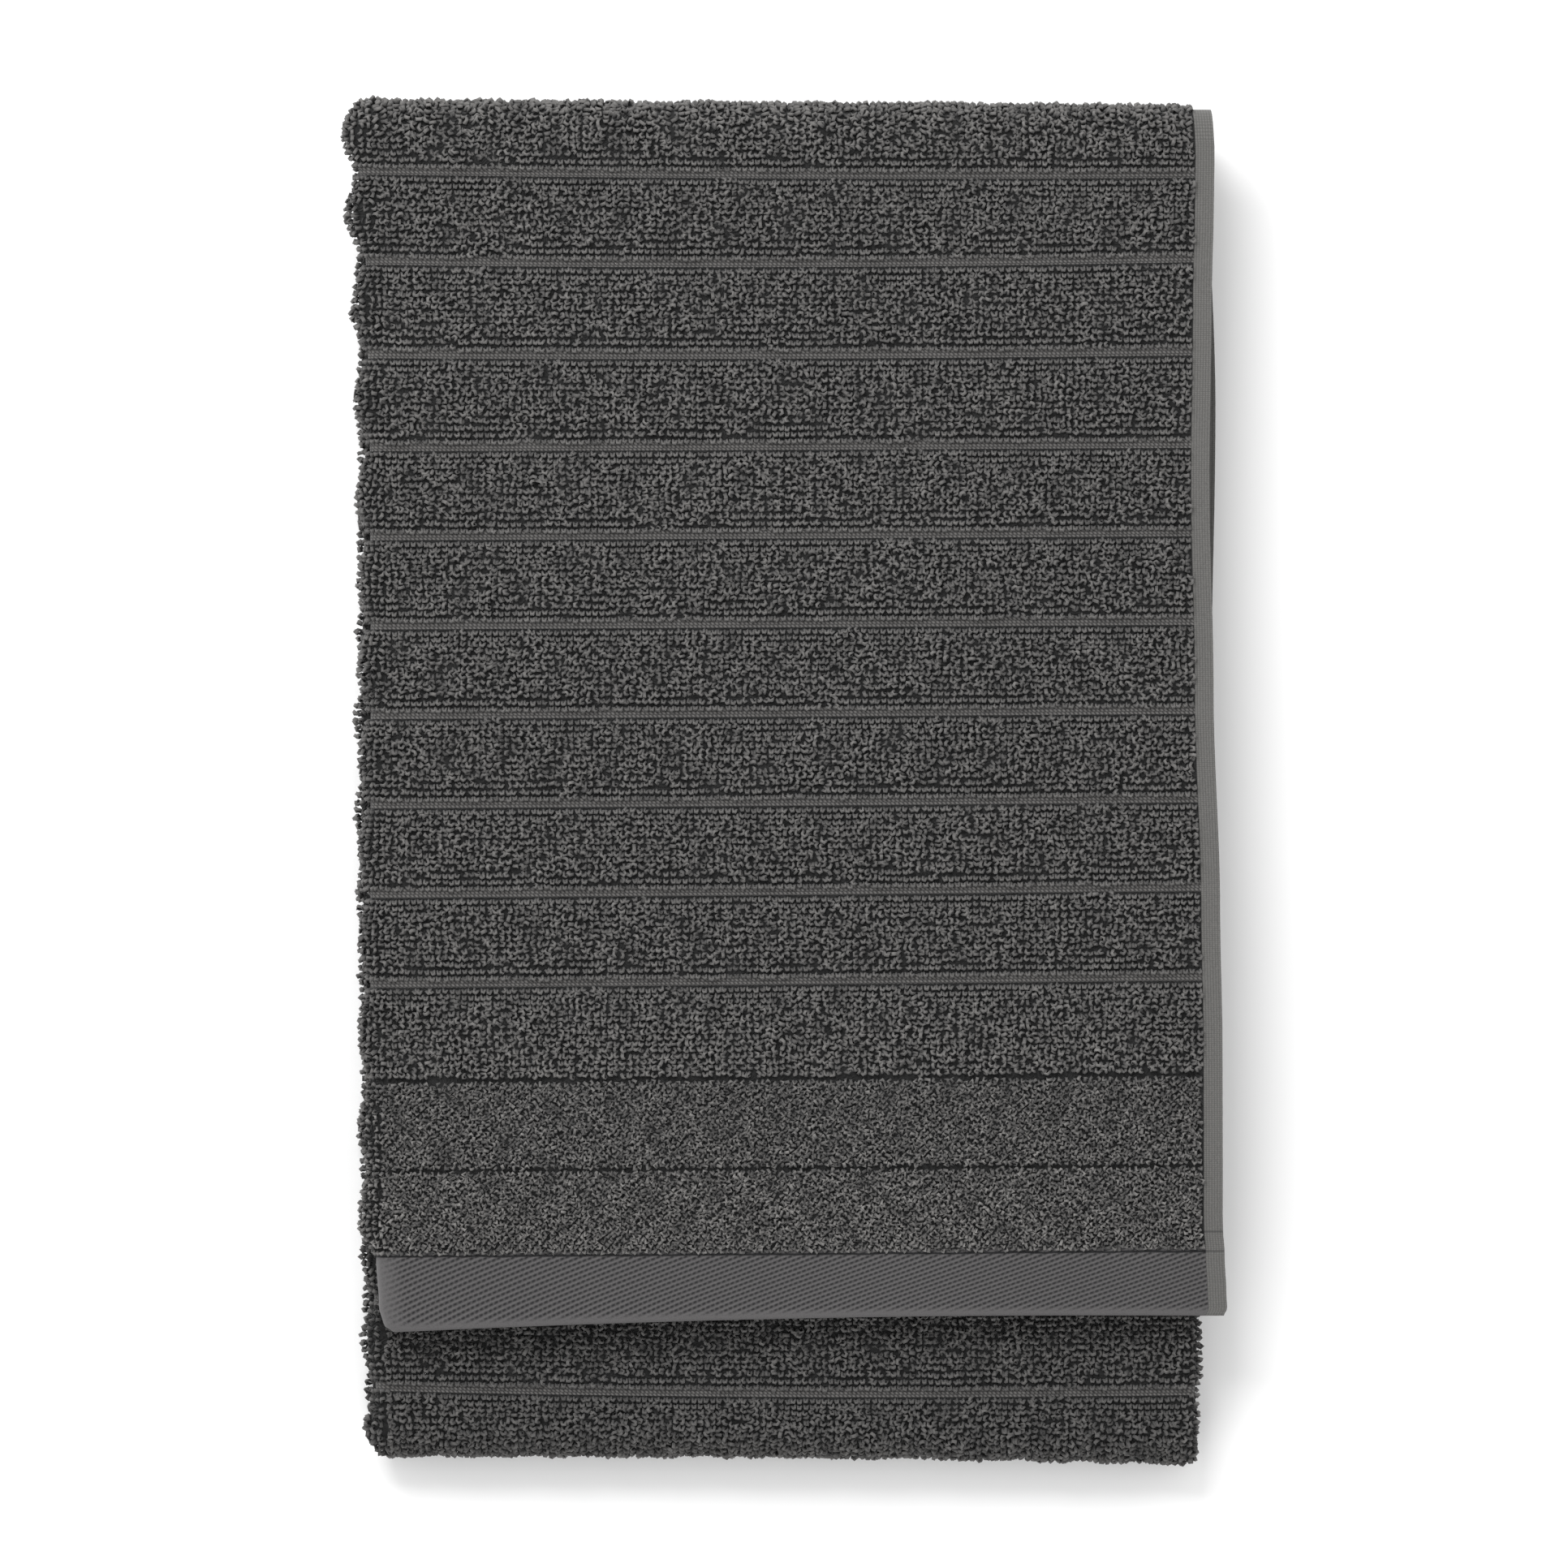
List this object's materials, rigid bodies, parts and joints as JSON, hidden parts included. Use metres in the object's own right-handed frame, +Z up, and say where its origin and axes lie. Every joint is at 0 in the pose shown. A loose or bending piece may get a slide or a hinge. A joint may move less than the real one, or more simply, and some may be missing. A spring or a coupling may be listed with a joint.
{
  "type": "folded bath towel",
  "caption": "Folded grey terry bath towel with flat-woven cross ribs, turned hems and smooth selvedges, folded in three lengthwise and in four crosswise, lying flat.",
  "frame": {"origin": "on the surface it lies on, under the middle of the folded bundle's bounding box", "axes": "+Y towards the top crosswise fold, +X towards the front flap's selvedge, +Z up out of the front flap"},
  "size_m": [0.2456, 0.381, 0.0428],
  "materials": {
    "terry_cloth": "dark grey looped cotton pile, matt, with lighter flat-woven ribs, hems and selvedges"
  },
  "bodies": {
    "root": {"bath_towel": "terry_cloth"}
  },
  "joints": []
}
